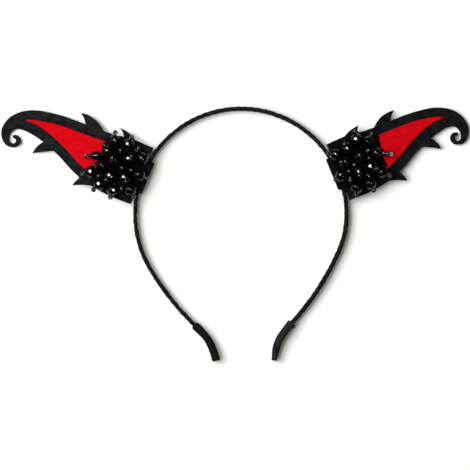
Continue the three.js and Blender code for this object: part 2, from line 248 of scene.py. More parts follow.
class BeadSettings(bpy.types.PropertyGroup):
    facets: bpy.props.IntProperty(
        name="Facets", description="Facets round a bead in each row", default=10, min=6)
    crispness: bpy.props.FloatProperty(
        name="Crispness", description="How sharp the edges between the facets are", default=70.0, min=8.0)
    hole: length_setting("Hole", "Radius of a bead's hole", 0.00055)
    seed_radius: length_setting("Seed bead", "Outer radius of a seed bead", 0.0015)
    thread_radius: length_setting("Thread", "Radius of the sewing thread", 0.00014)
    glass: colour_setting("Glass", "Colour of the glass", 0.0012, 0.0012, 0.0015)


class StageSettings(bpy.types.PropertyGroup):
    key: power_setting("Key light", "Power of the soft light from the left", 29.0)
    ceiling: power_setting("Ceiling", "Power of the light that comes back from the ceiling", 6.5)
    glint: power_setting("Glint", "Power of the lamp that shows in the beads", 72.0)
    sky: bpy.props.FloatProperty(
        name="Room light", description="Strength of the light from all round", default=0.27, min=0)
    fill: colour_setting("Fill colour", "Colour of the light in the shadows", 1.0, 0.96, 0.85)
    camera_height: length_setting("Camera height", "Height of the camera above the table", 1.6)
    floor: colour_setting("Floor", "Colour of the table", 0.86, 0.86, 0.85)


# Arrays

def joined(*values):
    """Arrays that are broadcast to one shape, as the columns of one array."""
    return np.stack(np.broadcast_arrays(*values), -1)


def unit(ways):
    """The same ways with a length of one."""
    return ways / np.linalg.norm(ways, axis=-1, keepdims=True)


def circle(count):
    """Angles at even steps round a circle."""
    return np.linspace(0, 2 * np.pi, count, endpoint=False)


def about_axis(out, turn, up):
    """Points at a distance out from the upright axis, turned about it, at a height up."""
    return joined(out * np.cos(turn), out * np.sin(turn), up)


# Meshes

def grid_corners(rows, columns, wrap_rows=False, wrap_columns=False):
    """Corner numbers of the quads of a grid, numbered row by row. A wrapped side closes on itself."""
    row = np.arange(rows if wrap_rows else rows - 1)[:, None]
    column = np.arange(columns if wrap_columns else columns - 1)[None, :]
    below, beside = (row + 1) % rows, (column + 1) % columns
    near, far = row * columns, below * columns
    return joined(near + column, near + beside, far + beside, far + column).reshape(-1, 4)


def repeated(corners, count, stride):
    """The same faces for each of several shapes whose vertices follow each other."""
    return (corners + stride * np.arange(count)[:, None, None]).reshape(-1, corners.shape[1])


def add_piece(name, points, faces, finish, uv=None):
    """A smooth mesh object that rides on the headband, from points in millimetres.

    Vertices at one place are merged and the faces turned outwards. uv has one pair for each face corner.
    """
    if name in bpy.data.objects:
        raise RuntimeError(f"{name} is there already")
    mesh = bpy.data.meshes.new(name)
    mesh.from_pydata((points.reshape(-1, 3) * MM).tolist(), [], faces.tolist())
    if uv is not None:
        layer = mesh.uv_layers.new(name="wound")
        layer.data.foreach_set("uv", uv.astype(np.float32).ravel())
    work = bmesh.new()
    work.from_mesh(mesh)
    bmesh.ops.remove_doubles(work, verts=work.verts, dist=1e-7)
    bmesh.ops.recalc_face_normals(work, faces=work.faces)
    work.to_mesh(mesh)
    work.free()
    mesh.polygons.foreach_set("use_smooth", np.ones(len(mesh.polygons), bool))
    mesh.materials.append(finish)
    piece = bpy.data.objects.new(name, mesh)
    bpy.context.scene.collection.objects.link(piece)
    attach(piece, BODY)
    return piece


# Curves and waves

def catmull_rom(points, section):
    """A smooth line through the rows of points, and its direction, at section numbers.

    Between two rows it is the cubic whose slope at a row is half the step between the row's neighbours.
    """
    rows = np.vstack([2 * points[0] - points[1], points, 2 * points[-1] - points[-2]])
    start = np.clip(np.floor(section).astype(int), 0, len(points) - 2)
    t = (section - start)[..., None]
    before, here, there, after = (rows[start + k] for k in range(4))
    leave, arrive = (there - before) / 2, (after - here) / 2
    square = 3 * (there - here) - 2 * leave - arrive
    cube = 2 * (here - there) + leave + arrive
    return here + t * (leave + t * (square + t * cube)), leave + t * (2 * square + 3 * t * cube)


def walked(lengths, turns, distance):
    """A path from the origin in arcs of given lengths and turns in degrees.

    The heading is a straight line over each arc, and a point is the running sum of its cosine and sine.
    Returns the points and headings at distances along the path.
    """
    knots = np.concatenate([[0], np.cumsum(lengths)])
    headings = np.radians(np.concatenate([[0], np.cumsum(turns)]))
    fine = np.linspace(0, knots[-1], 20001)
    middle = np.interp((fine[1:] + fine[:-1]) / 2, knots, headings)
    steps = joined(np.cos(middle), np.sin(middle)) * fine[1]
    line = np.vstack([[0, 0], np.cumsum(steps, 0)])
    points = joined(*(np.interp(distance, fine, line[:, k]) for k in (0, 1)))
    return points, np.interp(distance, knots, headings)


def waves(places, size, seed, count=9):
    """A gentle relief from -1 to 1: the mean of waves about size long that run in different directions."""
    draw = np.random.default_rng(seed)
    way = draw.normal(size=(count, places.shape[-1]))
    way /= np.linalg.norm(way, axis=1, keepdims=True) * size * draw.uniform(0.7, 1.6, (count, 1))
    return np.sin(2 * np.pi * (places @ way.T) + draw.uniform(0, 2 * np.pi, count)).mean(-1) * 2


def spaced(cuts, counts):
    """Numbers from cut to cut, closer together near each cut: a half turn of a cosine over each stretch."""
    runs = []
    for low, high, count in zip(cuts[:-1], cuts[1:], counts):
        runs.append(low + (high - low) * (1 - np.cos(np.linspace(0, np.pi, count + 1)[:-1])) / 2)
    return np.concatenate(runs + [[cuts[-1]]])


def table_at(table, place):
    """The value of a two-column table at a place, on straight lines between its rows."""
    places, values = np.array(table, float).T
    return np.interp(place, places, values)


# Band and sleeves

def band_side(hand):
    """Lengths and turns of the band's arcs on one side."""
    radii, sweeps = np.array(BAND_ARCS[hand]).T
    return radii * np.radians(sweeps), sweeps


def band_length(hand):
    return band_side(hand)[0].sum()


def band_line(length):
    """Points and outward ways of the band's middle line, at lengths that are below zero on the left.

    The two sides are paths that leave the top of the arch, and the left one is mirrored.
    """
    hand = np.where(length < 0, -1, 1)
    right, left = (walked(*band_side(side), np.abs(length)) for side in (1, -1))
    path = np.where(hand[:, None] > 0, right[0], left[0])
    heading = np.where(hand > 0, right[1], left[1])
    points = ARCH_CENTRE + joined(hand * path[:, 0], ARCH_RADIUS - path[:, 1])
    return points, joined(hand * np.sin(heading), np.cos(heading))


def wound(length, wide, deep, power, relief, pitch, around, wobble_seed):
    """A strip wound with ribbon: a rounded section carried along the band's middle line.

    The section is a superellipse of the given power. Each turn of the ribbon rises by relief over its width
    and drops at its edge, and the turns run round as a helix, so a turn's number is the length in pitches
    plus the share of the way round. Returns the points, and (turn, share round) for each column of the grid
    and one more.
    """
    share = np.linspace(0, 1, around + 1)
    angle = 2 * np.pi * share[None, :-1]
    wander = WANDER * waves(length[:, None], WANDER_LENGTH, wobble_seed)
    turn = ((length + wander) / pitch)[:, None] + share[None, :]
    part = turn[:, :-1] % 1.0
    lift = relief * np.minimum(part / LAP, (1 - part) / (1 - LAP))
    lift += 0.35 * relief * waves(joined(length[:, None], 4 * angle), 5.0, 3)
    core = [np.sign(f(angle)) * np.abs(f(angle)) ** (2 / power) for f in (np.cos, np.sin)]
    aside = (wide[:, None] / 2 - relief / 2 + lift) * core[0]
    up = (deep / 2 - relief / 2 + lift) * core[1]
    points, outward = band_line(length)
    flat = points[:, None, :] + aside[..., None] * outward[:, None, :]
    grid = np.concatenate([flat, (BAND_MIDDLE + up)[..., None]], -1)
    return grid, joined(turn, share)


def closed_tube(grid, uv):
    """A tube of rings with a flat cap at each end, which is one more ring drawn in to a point.

    Returns its points, its faces, and the uv of their corners.
    """
    around = grid.shape[1]
    first, last = (np.repeat(ring.mean(1, keepdims=True), around, 1) for ring in (grid[:1], grid[-1:]))
    points = np.concatenate([first, grid, last])
    marks = np.concatenate([uv[:1], uv, uv[-1:]])
    faces = grid_corners(len(points), around, wrap_columns=True)
    corners = grid_corners(len(points), around + 1)
    return points, faces, marks.reshape(-1, 2)[corners.ravel()]


# Felt

def horn_points(ear, section, share, inset=0.0):
    """Points of an ear: its middle line at section numbers, moved aside by a share of its half width.

    Past the last section the line runs on straight and the width follows a half circle, which rounds the
    end.
    """
    rise = np.tan(np.radians(ear["upsweep"]))
    rows = joined(HORN[:, 0] * ear["reach"], HORN[:, 1] + HORN[:, 0] * rise, HORN[:, 2] / 2)
    last = len(HORN) - 1
    past = np.clip(section - last, 0, 1) * np.pi / 2
    middle, way = catmull_rom(rows, np.minimum(section, last))
    way = unit(way[..., :2])
    half = middle[..., 2] * np.cos(past) - inset
    centre = middle[..., :2] + way * (middle[..., 2] * np.sin(past))[..., None]
    aside = joined(-way[..., 1], way[..., 0])
    return centre + aside * (half * share)[..., None]


def section_at(ear, edge, along):
    """The section number at which an edge of the blade gets to a place along the ear."""
    section = np.linspace(0, BLADE_END, 2001)
    return np.interp(along, horn_points(ear, section, edge)[:, 0], section)


def bulging(start, end, bulge, t):
    """A parabola from start to end that leaves the straight line by bulge, to its left, at half way."""
    chord = end - start
    aside = np.array([-chord[1], chord[0]]) / np.linalg.norm(chord)
    control = (start + end) / 2 + 2 * bulge * aside
    t = t[:, None]
    return (1 - t) ** 2 * start + 2 * t * (1 - t) * control + t ** 2 * end


def barb_patch(ear, barb, section):
    """A barb as a grid from its root, which is the ear's edge, to its tip.

    A row is the straight line between the barb's two sides, plus the root's own curve, which fades out
    towards the tip.
    """
    edge, roots, tip, bulge = barb
    near, far = (section_at(ear, edge, along) for along in roots)
    base_section = section[(section > near - 1e-6) & (section < far + 1e-6)]
    base = horn_points(ear, base_section, edge)
    tip = np.array(tip)
    t = np.linspace(0, 1, 13)
    rising = bulging(base[0], tip, edge * bulge[0], t)
    falling = bulging(tip, base[-1], edge * bulge[1], 1 - t)
    w = ((base_section - near) / (far - near))[None, :, None]
    straight = (1 - w) * rising[:, None] + w * falling[:, None]
    return straight + (1 - t)[:, None, None] * (base - straight[0])[None]


def ear_pattern(ear):
    """Grids of the felt as it was cut: the blade with its curl, the barbs, and the tab behind the base."""
    last = len(HORN) - 1
    roots = [section_at(ear, edge, along) for edge, pair, _, _ in ear["barbs"] for along in pair]
    cuts = np.sort(np.array([0, *roots, BLADE_END + 2, last]))
    counts = np.maximum(5, np.round(np.diff(cuts) * 9)).astype(int)
    section = np.concatenate([spaced(cuts, counts), last + np.array([0.2, 0.4, 0.6, 0.8, 0.93, 1.0])])
    tab = TAB_WIDE / HORN[0, 2]
    share = spaced([-1, -tab, tab, 1], [8, 12, 8])
    blade = horn_points(ear, section[:, None], share[None, :])
    barbs = [barb_patch(ear, barb, section) for barb in ear["barbs"]]
    base = blade[0, np.abs(share) < tab + 1e-6]
    length = sum(stretch for stretch, _ in TAB_STRETCHES)
    back = spaced([0, length], [60])[:, None]
    flap = joined(base[:, 0] * np.exp(-back) - back, base[:, 1])
    return [blade, *barbs, flap]


def inlay_pattern(ear):
    """Grid of a red inlay as it was cut: the ear's own sections, drawn in by the border on both sides.

    Each line along the grid has its own start, on an uneven line between the starts of the two edges.
    """
    upper, lower = (section_at(ear, edge, along) for edge, along in zip((1, -1), ear["inlay_start"]))
    share = spaced([-1, 1], [20])[None, :]
    start = lower + (upper - lower) * (share + 1) / 2 + INLAY_WAVER * waves(share[..., None], 0.5, 8)
    step = spaced([0, 1], [60])[:, None]
    border = np.interp(step, np.linspace(0, 1, len(INLAY_BORDER)), INLAY_BORDER)
    grid = horn_points(ear, start + (INLAY_TIP - start) * step, share, border)
    return [grid + np.array([0, ear["inlay_shift"]])]


def flat_cut(grids):
    """Grids that lie in one plane as one sheet: its points, triangles, outline as directed edges, and area.

    The triangles run anticlockwise, so the sheet lies to the left of each edge of the outline.
    """
    points = np.concatenate([grid.reshape(-1, 2) for grid in grids])
    sizes = [grid.shape[0] * grid.shape[1] for grid in grids]
    starts = np.cumsum([0] + sizes[:-1])
    quads = np.concatenate([grid_corners(*grid.shape[:2]) + start for grid, start in zip(grids, starts)])
    _, first, number = np.unique(np.round(points, 3), axis=0, return_index=True, return_inverse=True)
    points, quads = points[first], number.reshape(-1)[quads]
    triangles = np.concatenate([quads[:, [0, 1, 2]], quads[:, [0, 2, 3]]])
    a, b, c = (points[triangles[:, k]] for k in range(3))
    area = (b[:, 0] - a[:, 0]) * (c[:, 1] - a[:, 1]) - (b[:, 1] - a[:, 1]) * (c[:, 0] - a[:, 0])
    triangles = np.where(area[:, None] < 0, triangles[:, ::-1], triangles)[np.abs(area) > 1e-7]
    edges = np.concatenate([triangles[:, [0, 1]], triangles[:, [1, 2]], triangles[:, [2, 0]]])
    code = np.sort(edges, 1) @ [len(points), 1]
    _, where, seen = np.unique(code, return_index=True, return_counts=True)
    return points, triangles, edges[where[seen == 1]], np.abs(area).sum() / 2


def outline_distance(points, cut, edges):
    """How far each point is from the nearest edge of a sheet's outline."""
    start, step = cut[edges[:, 0]], cut[edges[:, 1]] - cut[edges[:, 0]]
    offset = points[:, None] - start[None]
    share = np.clip((offset * step).sum(-1) / (step ** 2).sum(-1), 0, 1)
    return np.linalg.norm(offset - share[..., None] * step, axis=-1).min(1)


def felt_solid(cut, triangles, edges, low, high, rounding, seed):
    """A sheet of felt with rounded edges: (along, across, height) of its points, and its faces.

    The two faces follow quarter circles within the rounding of the outline, and both carry a gentle relief.
    The outline's edges join the two faces.
    """
    inside = np.minimum(outline_distance(cut, cut, edges) / rounding, 1)
    drop = rounding * (1 - np.sqrt(1 - (1 - inside) ** 2))
    relief = sum(depth * waves(cut, long, seed + k) for k, (depth, long) in enumerate(FELT_WAVES))
    top = np.column_stack([cut, high - drop + relief * inside])
    bottom = np.column_stack([cut, low + drop + relief * inside])
    count = len(cut)
    start, end = edges[:, 0], edges[:, 1]
    rim = joined(start, start + count, end + count, end)
    rim = np.concatenate([rim[:, [0, 1, 2]], rim[:, [0, 2, 3]]])
    return np.concatenate([top, bottom]), np.concatenate([triangles, triangles[:, ::-1] + count, rim])


def felt_piece(name, ear, grids, low, high, rounding, seed, finish):
    """A piece of felt on an ear, from the grids of its cut.

    Returns the piece, and its flat width, length and area in metres and square metres.
    """
    cut, triangles, edges, area = flat_cut(grids)
    solid, faces = felt_solid(cut, triangles, edges, low, high, rounding, seed)
    piece = add_piece(name, on_headband(ear, solid), faces, finish)
    return piece, np.ptp(cut[:, 1]) * MM, np.ptp(cut[:, 0]) * MM, area * MM ** 2


def on_headband(ear, felt):
    """Places on an ear, as (along, across, height above its top face), in the headband's axes.

    Past the base the ear is a plane that sinks by the droop. Behind the base the felt follows the tab's
    path round the band, and the height is counted from that path's outer side.
    """
    along, across, height = np.moveaxis(felt, -1, 0)
    lengths, turns = np.array(TAB_STRETCHES).T
    path, heading = walked(lengths, turns, np.maximum(-along, 0))
    ahead = np.maximum(along, 0)
    lean = np.where(along > 0, DROOP, -heading)
    out = ahead * np.cos(DROOP) - path[..., 0] + height * np.sin(lean)
    up = EAR_TOP - ahead * np.sin(DROOP) - path[..., 1] + height * np.cos(lean)
    hand, perch, points = ear["hand"], np.radians(ear["perch"]), np.radians(ear["points"])
    seat = ARCH_CENTRE + ARCH_RADIUS * np.array([hand * np.cos(perch), np.sin(perch)])
    x = seat[0] + hand * (out * np.cos(points) - across * np.sin(points))
    y = seat[1] + out * np.sin(points) + across * np.cos(points)
    return joined(x, y, BAND_MIDDLE + up)


def loose_fibres(roots, way, length, radius, seed):
    """Loose fibres as thin three-sided horns that bend: (along, across, height) of their rings, and faces.

    A fibre runs from its root along its way and leaves it by a random bow that grows with the square of the
    length.
    """
    draw = np.random.default_rng(seed)
    t = np.linspace(0, 1, 4)[None, :, None]
    bow = draw.normal(0, 0.45, (len(roots), 1, 3)) * length[:, None, None]
    line = roots[:, None] + way[:, None] * length[:, None, None] * t + bow * t ** 2
    side = unit(np.cross(way, [0.0, 0.0, 1.0]) + np.array([1e-6, 0, 0]))
    over = np.cross(side, way)
    angle = np.array([0, 2, 4]) * np.pi / 3
    ring = np.cos(angle)[None, :, None] * side[:, None] + np.sin(angle)[None, :, None] * over[:, None]
    thick = radius * (1 - 0.8 * t[:, :, :, None])
    points = line[:, :, None] + thick * ring[:, None]
    return points, repeated(grid_corners(4, 3, wrap_columns=True), len(roots), 12)


# Beads

def bead_pose(node):
    """Centre, upward axis, radius and half length of a bead, from its solid.

    The two corners where most faces meet are the ends of the axis, and the radius is the largest distance
    from it.
    """
    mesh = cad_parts[node].data
    corners = np.empty(3 * len(mesh.vertices), np.float32)
    mesh.vertices.foreach_get("co", corners)
    at = np.empty(len(mesh.loops), np.int32)
    mesh.loops.foreach_get("vertex_index", at)
    corners = np.round(corners.reshape(-1, 3)[at].astype(float) / MM, 3)
    places, faces = np.unique(corners, axis=0, return_counts=True)
    ends = places[np.argsort(faces)[-2:]]
    low, high = ends[np.argsort(ends[:, 2])]
    centre, half = (low + high) / 2, np.linalg.norm(high - low) / 2
    axis = (high - low) / (2 * half)
    radius = np.linalg.norm(np.cross(places - centre, axis), axis=1).max()
    return centre, axis, radius, half


def bead_axes(axis, spin):
    """Three axes at right angles, the last along the bead, turned about it by spin."""
    level = np.cross(axis, [0.0, 0.0, 1.0])
    level /= np.linalg.norm(level)
    rise = np.cross(axis, level)
    first = np.cos(spin) * level + np.sin(spin) * rise
    return np.stack([first, np.cross(axis, first), axis])


def facet_normals(rows, facets):
    """Which way a cut bead's facets face: those of its rows, then its two ends."""
    lean = np.radians(np.repeat([row for row, _ in rows], facets))
    turn = np.concatenate([2 * np.pi * (np.arange(facets) + shift) / facets for _, shift in rows])
    return np.vstack([about_axis(np.cos(lean), turn, np.sin(lean)), [0, 0, 1], [0, 0, -1]])


def lit_pose(centre, axis, shine, facets):
    """The cut of a bead and its turn about its axis that give it its shine, seen from straight above.

    A lamp shows in a facet that faces half way between the lamp and the camera. The facet's shine is the
    lamp's share times a bell curve of the angle that it is off, and a bead shines as much as its best facet.
    Of both cuts and all turns within a facet, the pair nearest to the wanted shine is taken.
    """
    turns = 2 * np.pi / facets * np.arange(TURN_STEPS) / TURN_STEPS
    frames = np.stack([bead_axes(axis, turn) for turn in turns])
    places, share, spread = (np.array(column) for column in zip(GLINT, SPARK))
    half_way = unit(unit(places - centre * MM) + np.array([0, 0, 1]))
    misses = []
    for rows in BEAD_CUTS:
        facing = (facet_normals(rows, facets) @ frames @ half_way.T).max(1)
        off = np.degrees(np.arccos(np.minimum(facing, 1)))
        misses.append(np.abs((share * np.exp(-(off / spread) ** 2)).max(1) - shine))
    cut, step = np.unravel_index(np.argmin(misses), (len(BEAD_CUTS), TURN_STEPS))
    return cut, turns[step]


def faceted_bead(radius, half, hole, rows, facets, crispness, taper):
    """A cut glass bead with a hole, as a grid that closes both ways.

    Its outside is a rounded polyhedron: along each way out from the centre, the distance is the p-norm of
    how far that way points at each facet over the facet's own distance, to the power of minus one. The
    facets stand in the rows of the cut, at the distances of an ellipsoid. A drop is drawn in by its taper
    towards the upper end and let out towards the lower one. Then the grid runs back down the hole.
    """
    normal = facet_normals(rows, facets)
    outward, upward = np.hypot(normal[:, 0], normal[:, 1]), normal[:, 2]
    distance = FACET_DEPTH * np.hypot(radius * outward, half * BEAD_FULLNESS * upward)
    distance[-2:] = half
    rim = np.arctan2(1.5 * hole, half)
    theta = np.linspace(-np.pi / 2 + rim, np.pi / 2 - rim, 41)[:, None]
    phi = circle(8 * facets)
    way = about_axis(np.cos(theta), phi, np.sin(theta))
    facing = np.maximum(way @ (normal / distance[:, None]).T, 0)
    outside = way / ((facing ** crispness).sum(-1) ** (1 / crispness))[..., None]
    outside[..., :2] *= (1 - taper * outside[..., 2:] / half) / (1 + taper * 0.19)
    depth = np.array([0.97, 0.9, 0.7, -0.7, -0.9, -0.97])[:, None] * half
    wide = np.array([1.25, 1.06, 1.0, 1.0, 1.06, 1.25])[:, None] * hole
    return np.concatenate([outside, about_axis(wide, phi, depth)])


def seed_ring(radius):
    """A seed bead, as a grid that closes both ways: a ring whose section is an upright ellipse."""
    turn, slope = circle(24)[:, None], circle(16)
    thick, half = SEED_THICK * radius, SEED_HALF * radius
    return about_axis(radius - thick + thick * np.cos(slope), turn, half * np.sin(slope))


def seed_places(side, radius):
    """Centre and axes of each seed bead of a cluster, and which of them are the last on their thread.

    The last seed bead on a thread lies across it, as flat as it can. Any others of a row sit on the thread
    under it.
    """
    places, axes, last = [], [], []
    for number, node in enumerate(BEAD_NODES[side]):
        centre, axis, _, half = bead_pose(node)
        row = SEED_ROWS.get(node, 1)
        for step in range(row):
            stops = step == row - 1
            height = half + radius * (SEED_PITCH * step + (1.0 if stops else SEED_HALF))
            frame = bead_axes(axis, 0.5 * np.sin(2.4 * number))
            places.append(centre + axis * height)
            axes.append(frame[[0, 2, 1]] if stops else frame)
            last.append(stops)
    return np.array(places), np.array(axes), np.array(last)


def tubes(lines, radius, sides=7):
    """Round tubes along lines with the same number of points: a circle square to each line's direction."""
    way = unit(np.gradient(lines, axis=1))
    side = unit(np.cross(way, [0.31, 0.22, 0.92]))
    over = np.cross(side, way)
    angle = circle(sides)[:, None]
    ring = np.cos(angle) * side[..., None, :] + np.sin(angle) * over[..., None, :]
    points = lines[..., None, :] + radius * ring
    stride = lines.shape[1] * sides
    return points, repeated(grid_corners(lines.shape[1], sides, wrap_columns=True), len(lines), stride)


# Finishes

class Number:
    """A value that a finish works out at each point. Arithmetic on it adds Math nodes."""

    def __init__(self, finish, socket):
        self.finish = finish
        self.socket = socket

    def math(self, operation, *terms):
        return self.finish.node("ShaderNodeMath", {"operation": operation}, dict(enumerate(terms)))

    def __add__(self, other):
        return self.math("ADD", self, other)

    def __radd__(self, other):
        return self.math("ADD", other, self)

    def __sub__(self, other):
        return self.math("SUBTRACT", self, other)

    def __rsub__(self, other):
        return self.math("SUBTRACT", other, self)

    def __mul__(self, other):
        return self.math("MULTIPLY", self, other)

    def __rmul__(self, other):
        return self.math("MULTIPLY", other, self)

    def __mod__(self, other):
        return self.math("FLOORED_MODULO", self, other)

    def sine(self):
        return self.math("SINE", self)

    def highest(self, other):
        return self.math("MAXIMUM", self, other)

    def between(self, low, high):
        """0 up to low, 1 from high on, and a smooth step from one to the other."""
        limits = {"Value": self, "From Min": low, "From Max": high}
        return self.finish.node("ShaderNodeMapRange", {"interpolation_type": "SMOOTHSTEP"}, limits)


class Finish:
    """The node tree of a material or of the world."""

    def __init__(self, owner):
        owner.use_nodes = True
        self.owner = owner
        self.tree = owner.node_tree

    def feed(self, socket, value):
        if isinstance(value, Number):
            self.tree.links.new(value.socket, socket)
        else:
            socket.default_value = value

    def node(self, kind, settings=None, sockets=None, output=0):
        """One node: its settings are made first, then its sockets get their values or links."""
        node = self.tree.nodes.new(kind)
        for name, value in (settings or {}).items():
            setattr(node, name, value)
        for name, value in (sockets or {}).items():
            self.feed(node.inputs[name], value)
        return Number(self, node.outputs[output])

    def surface(self, **sockets):
        """Values or links for the sockets of the material's own shader."""
        shader = self.tree.nodes["Principled BSDF"]
        for name, value in sockets.items():
            self.feed(shader.inputs[name.replace("_", " ")], value)
        return self.owner

    def place(self):
        return self.node("ShaderNodeTexCoord", output="Object")

    def turned(self, place, angle, scale):
        """A place turned about Z, in degrees, then scaled."""
        turn = {"Vector": place, "Rotation": (0, 0, np.radians(angle)), "Scale": (1, 1, 1)}
        level = self.node("ShaderNodeMapping", None, turn)
        return self.node("ShaderNodeMapping", None, {"Vector": level, "Scale": scale})

    def noise(self, place, scale=1.0, detail=2.0, roughness=0.5):
        sockets = {"Vector": place, "Scale": scale, "Detail": detail, "Roughness": roughness}
        return self.node("ShaderNodeTexNoise", None, sockets)

    def mixed(self, share, first, second):
        """A colour between two."""
        return self.node("ShaderNodeMix", {"data_type": "RGBA"}, {0: share, 6: first, 7: second}, 2)

    def bump(self, height, distance, strength=1.0):
        """A surface normal from a height between 0 and 1, in a distance in millimetres."""
        sockets = {"Height": height, "Distance": distance * MM, "Strength": strength}
        return self.node("ShaderNodeBump", None, sockets)


def shade(colour, share):
    """A colour made darker or lighter, with its alpha kept."""
    return (*(min(1.0, channel * share) for channel in colour[:3]), 1.0)


def felt_finish(name, colour, lift, sheen, shaded_place=None):
    """Matted fibres: noise drawn out in three directions, over soft clumps a few millimetres wide.

    Within about two centimetres of a shaded place the lighter fibres fade out: painted shade, which darkens
    the felt among the beads.
    """
    finish = Finish(bpy.data.materials.new(name))
    place = finish.place()
    strands = None
    for angle in (18, 77, 141):
        layer = finish.noise(finish.turned(place, angle, (520, 3600, 1500)), detail=3.0).between(0.46, 0.72)
        strands = layer if strands is None else strands.highest(layer)
    clumps = finish.noise(place, 330.0, 3.0).between(0.3, 0.7)
    nap = finish.noise(place, 2600.0, 4.0, 0.7)
    share = (0.5 * strands + 0.5 * clumps) * (0.55 + 0.9 * nap)
    # Painted shade: near the shaded place the lighter fibres fade, so the felt is drawn darker among the
    # beads.
    if shaded_place:
        ends = {0: place, 1: shaded_place}
        reach = finish.node("ShaderNodeVectorMath", {"operation": "DISTANCE"}, ends, "Value")
        share = share * (0.08 + 0.92 * reach.between(0.010, 0.027))
    tint = finish.mixed(share, shade(colour, 1 - lift), shade(colour, 1 + lift))
    return finish.surface(
        Base_Color=tint, Roughness=0.8 + 0.18 * nap,
        Normal=finish.bump(0.6 * strands + 0.7 * nap, 0.16, 0.8),
        Sheen_Weight=sheen, Sheen_Roughness=0.45, Sheen_Tint=shade(colour, 6), Specular_IOR_Level=0.0,
    )


def ribbon_finish(name, colour, painted_sheen, roughness, gloss, ribs, slubs):
    """Ribbon with ribs along each of its turns and slubs round the band. The ribs, slubs and a soft mottle
    are painted lighter, a painted sheen, which fades to the darker colour at each turn's edges.
    """
    finish = Finish(bpy.data.materials.new(name))
    place = finish.node("ShaderNodeUVMap", {"uv_map": "wound"})
    parts = finish.node("ShaderNodeSeparateXYZ", None, {"Vector": place})
    turn = parts % 1.0
    rib = 0.5 + 0.5 * (turn * (2 * np.pi * ribs)).sine()
    stretched = finish.node("ShaderNodeMapping", None, {"Vector": place, "Scale": (26, slubs, 1)})
    slub = finish.noise(stretched, 1.0, 3.0)
    fine = finish.noise(finish.place(), 3000.0, 3.0)
    edge = turn.between(0.0, 0.1) * (1 - turn.between(0.84, 1.0))
    mottle = finish.noise(finish.place(), 750.0, 2.0).between(0.3, 0.7)
    # Painted sheen: the raised ribs and slubs are drawn in the lighter colour, fading out at each turn's
    # edges.
    sheen_share = (0.5 * rib + 0.5 * slub) * edge * (0.25 + 1.5 * mottle)
    tint = finish.mixed(sheen_share, colour, painted_sheen)
    return finish.surface(
        Base_Color=tint, Roughness=roughness + 0.25 * (fine - 0.5) - 0.1 * sheen_share,
        Normal=finish.bump(0.5 * rib + 0.5 * fine + 0.5 * edge, 0.06, 0.7),
        Sheen_Weight=0.01, Sheen_Roughness=0.4, Specular_IOR_Level=gloss,
    )


def glass_finish(name, colour, roughness, gloss):
    """Black glass with faint smears and specks in its polish."""
    finish = Finish(bpy.data.materials.new(name))
    place = finish.place()
    smear = finish.noise(place, 420.0, 3.0).between(0.45, 0.75)
    speck = finish.noise(place, 3500.0, 1.0).between(0.66, 0.74)
    tint = finish.mixed(smear, colour, shade(colour, 2.2))
    return finish.surface(
        Base_Color=tint, Roughness=roughness + 0.05 * smear + 0.12 * speck,
        Normal=finish.bump(finish.noise(place, 500.0, 1.0), 0.01, 0.2), Specular_IOR_Level=gloss,
    )


def thread_finish(name, colour):
    """Twisted thread: slanting stripes between lighter and darker black."""
    finish = Finish(bpy.data.materials.new(name))
    twist = finish.noise(finish.turned(finish.place(), 40, (2500, 6000, 2500)), detail=2.0)
    tint = finish.mixed(twist, colour, shade(colour, 4))
    return finish.surface(
        Base_Color=tint, Roughness=0.6 + 0.2 * twist, Normal=finish.bump(twist, 0.05, 0.8),
    )


def floor_finish(name, colour):
    """Plain pale board with the faintest mottle."""
    finish = Finish(bpy.data.materials.new(name))
    mottle = finish.noise(finish.place(), 40.0, 4.0)
    tint = finish.mixed(mottle, shade(colour, 0.985), colour)
    return finish.surface(Base_Color=tint, Roughness=0.62 + 0.06 * mottle, Specular_IOR_Level=0.0)


# Operators

